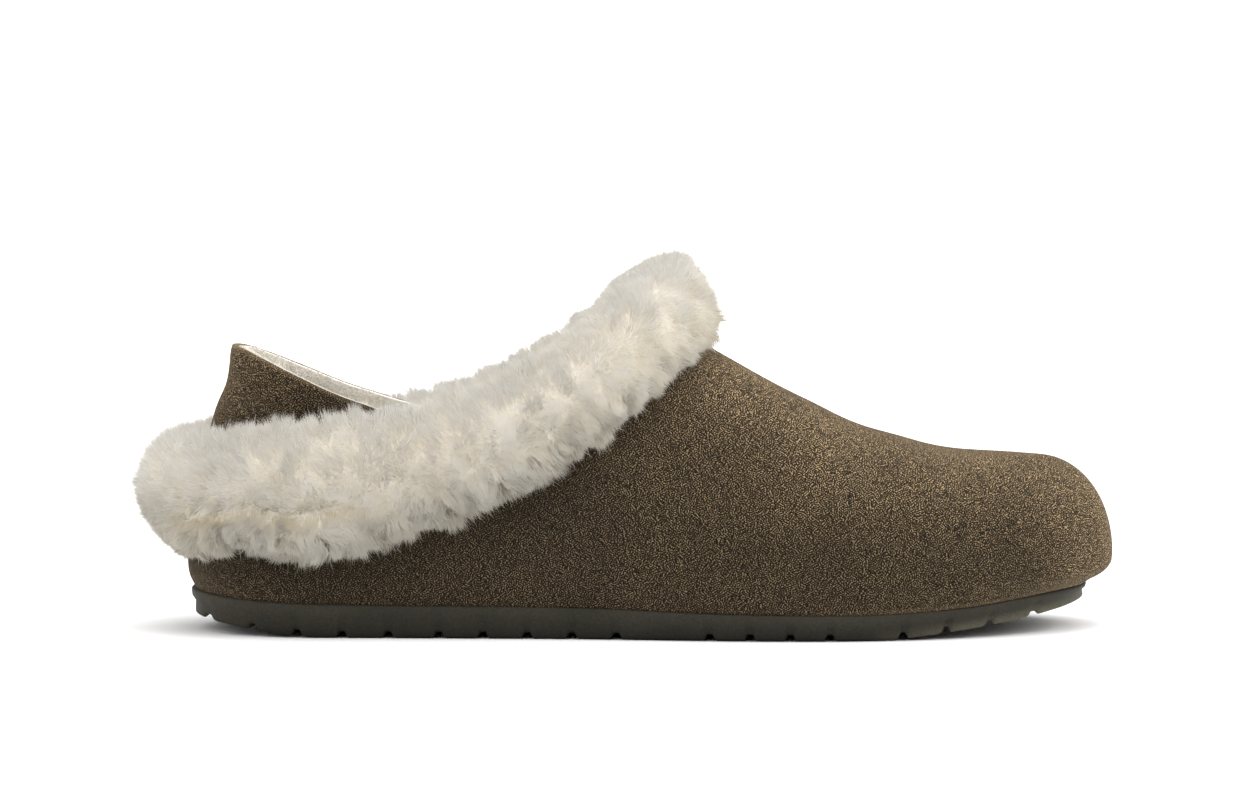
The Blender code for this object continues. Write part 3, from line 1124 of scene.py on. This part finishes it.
def cuff_skin_grid():
    """Closed ring of sections round the wool mass of the cuff: hem, outside, top edge, inside."""
    places = cuff_places(CUFF_PLACES)
    along = places[:, None]
    arc = np.linspace(0, np.pi, CUFF_ARC + 1)
    back = np.linspace(1, BACK_LEVEL, CUFF_BACK + 1)[1:]
    level = np.concatenate([(1 - np.cos(arc)) / 2, back])
    hem = SKIN_HEM_SHARE + HEM_RAISE * np.exp(-((along - HEM_RAISE_PLACE) / HEM_RAISE_REACH) ** 2)
    share = hem + level * (1 - hem - SKIN_TOP_SHARE)
    swell = np.concatenate([np.sin(arc) ** (2 / CUFF_SQUARE), np.zeros(CUFF_BACK)])
    taper = 1 - HEEL_TAPER * heel_share(along) * np.clip(1 - level / TAPER_LEVEL, 0, 1)
    shoulder = 1 + THROAT_SHOULDER * throat_share(along) * np.clip(1 - np.abs(level - 0.5) / 0.35, 0, 1)
    depth = SKIN_SHARE * curve(CUFF_PILE, "depth", along) * swell * taper * shoulder + SEAT_GAP
    lateral = cuff_side(places, share, depth, LATERAL)
    medial = cuff_side(places, share, depth, MEDIAL)
    ring = np.concatenate([lateral, medial[-2:0:-1]])
    position = np.concatenate([places, places[-2:0:-1]])
    side = np.concatenate([np.full(len(places), LATERAL), np.full(len(places) - 2, MEDIAL)])
    return ring, position, side


def tufted(grid, normals, centres):
    """Grid pushed out into a soft tuft round each centre."""
    tree = search_tree(centres)
    distance = np.array([tree.find(point)[2] for point in grid.reshape(-1, 3)]).reshape(grid.shape[:2])
    push = TUFT_HEIGHT * (np.exp(-(distance / TUFT_SIZE) ** 2) - TUFT_SINK)
    return grid + push[..., None] * normals


def cuff_crease(place, section):
    """How deep in the parted crease a spot of the cuff lies, and on which side of it."""
    line = PARTING + PARTING_WAVE * np.sin(40 * place)
    end = np.clip((PARTING_TO - place) / PARTING_TO_BLEND, 0, 1)
    run = end * np.clip((place - PARTING_FROM) / PARTING_FROM_BLEND, 0, 1)
    return run * np.exp(-((section - line) / PARTING_WIDTH) ** 2), np.sign(section - line)


def cuff_lengths(place, section, crease, lump, rng):
    """Strand lengths: short in the crease and at the hem, fitted to the outline at heel and throat."""
    length = CUFF_LENGTH * (1 + 0.15 * lump - 0.35 * crease) * varied(len(place), rng)
    length = length * (1 - 0.15 * np.clip(1 - section / 0.25, 0, 1))
    heel = heel_share(place) * straight(HEEL_LENGTHS, "share", section)
    throat = throat_share(place) * straight(THROAT_LENGTHS, "share", section)
    return length * (1 + heel + throat)


def cuff_tips(root, upright, section, length, keys, lock, rng):
    """Strand tips: each lock leans its own way, and tips draw together in locks and finer wisps."""
    calm = straight(CALM, "share", section)[:, None]
    sway = calm * rng.normal(0, LOCK_SWAY, (CUFF_LOCKS, 3))[lock]
    direction = unit(upright + sway + rng.normal(0, STRAND_JITTER, root.shape))
    tip = root + length[:, None] * direction
    tip = gather(root, tip, keys, lock, LOCK_PULL, LOCK_SPREAD, rng)
    wisp_keys, wisp = choose_locks(root, CUFF_WISPS, rng)
    tip = gather(root, tip, wisp_keys, wisp, WISP_PULL, WISP_SPREAD, rng)
    stray = (rng.random(len(root)) < STRAY_SHARE)[:, None]
    astray = unit(direction + rng.normal(0, LOOSE_JITTER, root.shape))
    loose = root + STRAY_LENGTH * length[:, None] * astray
    return np.where(stray, loose, tip)


def cuff_pile(grid, normals, across, position, side, rng):
    """Strands of the cuff: locks of wool that stand off the mass and part along a soft crease."""
    weight = np.ones(grid.shape[:2])
    weight[:, CUFF_ARC + 1:] = BACK_WEIGHT
    weight[:, :HEM_COLUMNS] = HEM_WEIGHT
    spots = scatter(grid, weight, CUFF_STRANDS, True, rng)
    root = sample(grid, spots)
    normal = unit(sample(normals, spots))
    along_section = unit(sample(across, spots))
    place = position[spots[0]]
    section = (spots[2] + spots[4]) / CUFF_ARC

    crease, above = cuff_crease(place, section)
    lump = lumps(root, CUFF_LUMP)
    length = cuff_lengths(place, section, crease, lump, rng)
    keys, lock = choose_locks(root, CUFF_LOCKS, rng)
    ragged = straight(RAGGED, "share", section)
    length = length * (1 + ragged * rng.uniform(-1, 1, CUFF_LOCKS)[lock])
    combed = COMB * (section - COMB_PARTING) + CREASE_COMB * above * crease
    upright = normal + combed[:, None] * along_section
    tip = cuff_tips(root, upright, section, length, keys, lock, rng)
    curl = unit(rng.normal(0, 1, (CUFF_LOCKS, 3)))[lock]
    tone = (0.97 + 0.06 * rng.random(CUFF_LOCKS))[lock] * (0.95 + 0.1 * rng.random(len(root)))
    # Painted shade darker towards the hem, and a lighter tone at the heel end
    tone = tone * straight(FRINGE_PAINTED_SHADE, "share", section) * (1 + HEEL_TONE * heel_share(place))
    warmth = 0.3 + 0.3 * lump + 0.8 * crease + 0.6 * np.clip(1 - section / 0.5, 0, 1)
    outside = 1 - 0.8 * np.clip((section - 0.75) / 0.2, 0, 1)
    return {
        "root": root,
        "middle": 0.5 * (root + tip) + length[:, None] * (0.12 * normal + 0.08 * curl),
        "tip": tip,
        "normal": unit(outside[:, None] * normal + (0, 0, 0.2)),
        "turn": rng.normal(0, WOOL_TURN, root.shape),
        "width": CUFF_WIDTH * varied(len(root), rng),
        "color": wool_colors(tone, np.clip(warmth, 0, 1.5)),
        "place": place,
        "side": side[spots[0]],
    }


def build_cuff():
    """Shearling cuff: tufted wool mass and the pile standing off it."""
    rng = np.random.default_rng(CUFF_SEED)
    grid, position, side = cuff_skin_grid()
    normals, across = grid_normals(grid, True)
    spots = scatter(grid, np.ones(grid.shape[:2]), TUFTS, True, rng)
    grid = tufted(grid, normals, sample(grid, spots))
    sections = np.arange(grid.shape[1]) / CUFF_ARC
    crease, _ = cuff_crease(position[:, None], sections[None])
    grid = grid - CREASE_DEPTH * crease[..., None] * normals
    faces = loft_faces(grid.shape[0], grid.shape[1], True, True)
    mass = skin_material("cuff_wool_mass", *CUFF_TONES)
    skin = new_piece("cuff_wool", grid.reshape(-1, 3), faces, [mass])
    weld(skin)
    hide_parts("cuff")
    pile = cuff_pile(grid, normals, across, position, side, rng)
    heel = pile["place"] < HEEL_ZONE
    throat = pile["place"] >= THROAT_ZONE
    outer = pile["side"] == LATERAL
    zones = {
        "cuff_pile_heel": heel,
        "cuff_pile_outer": ~heel & ~throat & outer,
        "cuff_pile_inner": ~heel & ~throat & ~outer,
        "cuff_pile_throat": throat,
    }
    material = pile_material("cuff_wool_pile")
    for name, pick in zones.items():
        strand_mesh(name, pile, pick, material)


# Lining pile and footbed


def short_pile(name, grid, count, sizes, seed):
    """Short dense pile over a grid, for the lining and the footbed."""
    length, width, lean = sizes
    rng = np.random.default_rng(seed)
    normals, _ = grid_normals(grid, False)
    spots = scatter(grid, np.ones(grid.shape[:2]), count, False, rng)
    root = sample(grid, spots)
    normal = unit(sample(normals, spots))
    lump = lumps(root, SHORT_LUMP)
    reach = length * (1 + 0.15 * lump) * varied(count, rng)
    tip = root + reach[:, None] * unit(normal + (0, 0, lean) + rng.normal(0, LOOSE_JITTER, root.shape))
    locks = count // SHORT_LOCK
    keys, lock = choose_locks(root, locks, rng)
    tip = gather(root, tip, keys, lock, SHORT_PULL, SHORT_SPREAD, rng)
    pile = {
        "root": root,
        "middle": 0.5 * (root + tip) + 0.15 * reach[:, None] * normal,
        "tip": tip,
        "normal": normal,
        "turn": rng.normal(0, WOOL_TURN, root.shape),
        "width": width * varied(count, rng),
        "color": wool_colors(SHORT_TONE + 0.1 * rng.random(locks)[lock], np.clip(0.2 + 0.6 * lump, 0, 1)),
    }
    every = np.ones(count, dtype=bool)
    strand_mesh(name, pile, every, pile_material(name + "_wool"))


def build_lining_pile():
    """Short pile inside the collar."""
    depth = LINING_DEPTH + LINING_THICKNESS - PILE_ROOTED
    lateral, _ = upper_grid(LATERAL, PILE_GRID, depth, False, LINING_OVER)
    medial, _ = upper_grid(MEDIAL, PILE_GRID, depth, False, LINING_OVER)
    lateral = lateral[:PILE_COLUMNS, PILE_FROM_ROW:]
    medial = medial[1:PILE_COLUMNS, PILE_FROM_ROW:]
    grid = np.concatenate([lateral[::-1], medial])
    sizes = LINING_LENGTH, LINING_WIDTH, LINING_LEAN
    short_pile("lining_pile", grid, LINING_STRANDS, sizes, LINING_SEED)


def footbed_grid(inset):
    """Top of the footbed below its pile, and its underside, inset from the sole's edge."""
    theta = np.linspace(0, np.pi, FOOTBED_STATIONS + 1)[:, None]
    lane = np.linspace(0, 1, FOOTBED_LANES + 1)[None]
    ends = [edge(theta[:, 0], side, inset) for side in (LATERAL, MEDIAL)]
    plan = ends[0][:, None] + lane[..., None] * (ends[1] - ends[0])[:, None]
    x = plan[..., 0]
    rim = (1 - lane) * curve(FOOTBED, "lateral_rim", x) + lane * curve(FOOTBED, "medial_rim", x)
    nearness = 1 - (1 - (2 * lane - 1) ** 2) * fullness(theta)
    floor = curve(SOLE_TOP, "z", x) + SEAT_GAP
    top = floor + curve(FOOTBED, "thickness", x) + rim * nearness - FOOTBED_SINK
    return np.concatenate([plan, top[..., None]], -1), np.concatenate([plan, floor[..., None]], -1)


def build_footbed():
    """Contoured footbed with its shearling cover."""
    top, _ = footbed_grid(FOOTBED_INSET - FOOTBED_SWELL)
    _, bottom = footbed_grid(FOOTBED_INSET)
    ring = np.concatenate([bottom, top[:, ::-1]], 1)
    faces = loft_faces(ring.shape[0], ring.shape[1], False, True)
    skin = skin_material("footbed_skin", *LINING_TONES)
    piece = new_piece("footbed_body", ring.reshape(-1, 3), faces, [skin])
    weld(piece)
    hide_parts("footbed")
    seen = top[: int(len(top) * FOOTBED_SEEN)]
    sizes = FOOTBED_LENGTH, FOOTBED_WIDTH, 0.0
    short_pile("footbed_pile", seen, FOOTBED_STRANDS, sizes, FOOTBED_SEED)


# Stage


def floor_material():
    """White paper that glows into the white background away from the shoe."""
    n = Nodes("floor_paper")
    tone = n.noise(n.coordinates(), 3.0, 2.0)
    paper = n.ramp(tone, (0.3, (0.93, 0.93, 0.93)), (0.7, (0.95, 0.95, 0.95)))
    n.set(Base_Color=paper, Roughness=0.9, Specular_IOR_Level=0.1, Emission_Color=(1.0, 1.0, 1.0, 1.0))
    distance = n.add("ShaderNodeVectorMath", operation="LENGTH")
    n.put(n.coordinates(), distance.inputs[0])
    glow = n.add("ShaderNodeMapRange", interpolation_type="SMOOTHSTEP")
    n.put(distance.outputs["Value"], glow.inputs["Value"])
    n.put(0.5, glow.inputs["From Min"])
    n.put(1.6, glow.inputs["From Max"])
    n.set(Emission_Strength=glow.outputs["Result"])
    return n.material


def build_floor():
    """Pale floor under the shoe."""
    corners = [(x * FLOOR_REACH, y * FLOOR_REACH, 0) for x, y in ((-1, -1), (1, -1), (1, 1), (-1, 1))]
    mesh = bpy.data.meshes.new("floor")
    mesh.from_pydata(corners, [], [(0, 1, 2, 3)])
    mesh.materials.append(floor_material())
    floor = bpy.data.objects.new("floor", mesh)
    bpy.context.scene.collection.objects.link(floor)


def softbox(name, place, target, size, power):
    """One soft area light aimed at a target."""
    data = bpy.data.lights.new(name, "AREA")
    data.shape = "RECTANGLE"
    data.size, data.size_y = size
    data.energy = power
    lamp = bpy.data.objects.new(name, data)
    lamp.location = place
    lamp.rotation_euler = (Vector(target) - Vector(place)).to_track_quat("-Z", "Y").to_euler()
    bpy.context.scene.collection.objects.link(lamp)


def build_lights():
    """White studio: even world light, a large overhead box, and smaller boxes at toe, front and heel."""
    world = bpy.data.worlds.new("studio")
    world.use_nodes = True
    background = world.node_tree.nodes["Background"]
    background.inputs["Color"].default_value = (1.0, 1.0, 1.0, 1.0)
    background.inputs["Strength"].default_value = WORLD_LIGHT
    bpy.context.scene.world = world
    softbox("overhead", (0.2, 0.0, 1.3), (0.0, 0.0, 0.03), (2.0, 1.6), 27.0)
    softbox("toe_side", (1.1, -0.4, 0.8), (0.05, 0.0, 0.05), (0.9, 0.9), 10.6)
    softbox("front_fill", (-0.8, -1.3, 0.9), (-0.05, 0.0, 0.05), (1.0, 1.0), 5.2)
    softbox("heel_side", (-1.1, -0.2, 0.5), (-0.12, 0.0, 0.03), (0.8, 0.8), 2.4)


def build_camera():
    """The photograph's side view."""
    elevation = math.radians(CAMERA_ELEVATION)
    target = Vector(to_row(CAMERA_TARGET))
    data = bpy.data.cameras.new("camera")
    data.sensor_fit = "HORIZONTAL"
    data.sensor_width = 36.0
    data.lens = data.sensor_width * CAMERA_DISTANCE / (PHOTO_WIDTH * PHOTO_PIXEL * MM)
    data.clip_end = 200.0
    camera = bpy.data.objects.new("camera", data)
    camera.location = target + CAMERA_DISTANCE * Vector((0.0, -math.cos(elevation), math.sin(elevation)))
    camera.rotation_euler = (target - camera.location).to_track_quat("-Z", "Y").to_euler()
    bpy.context.scene.collection.objects.link(camera)
    bpy.context.scene.camera = camera


build_outsole()
build_footbed()
build_suede()
build_lining()
build_lining_pile()
build_cuff()
build_floor()
build_lights()
build_camera()
bpy.context.scene.view_settings.view_transform = "Standard"
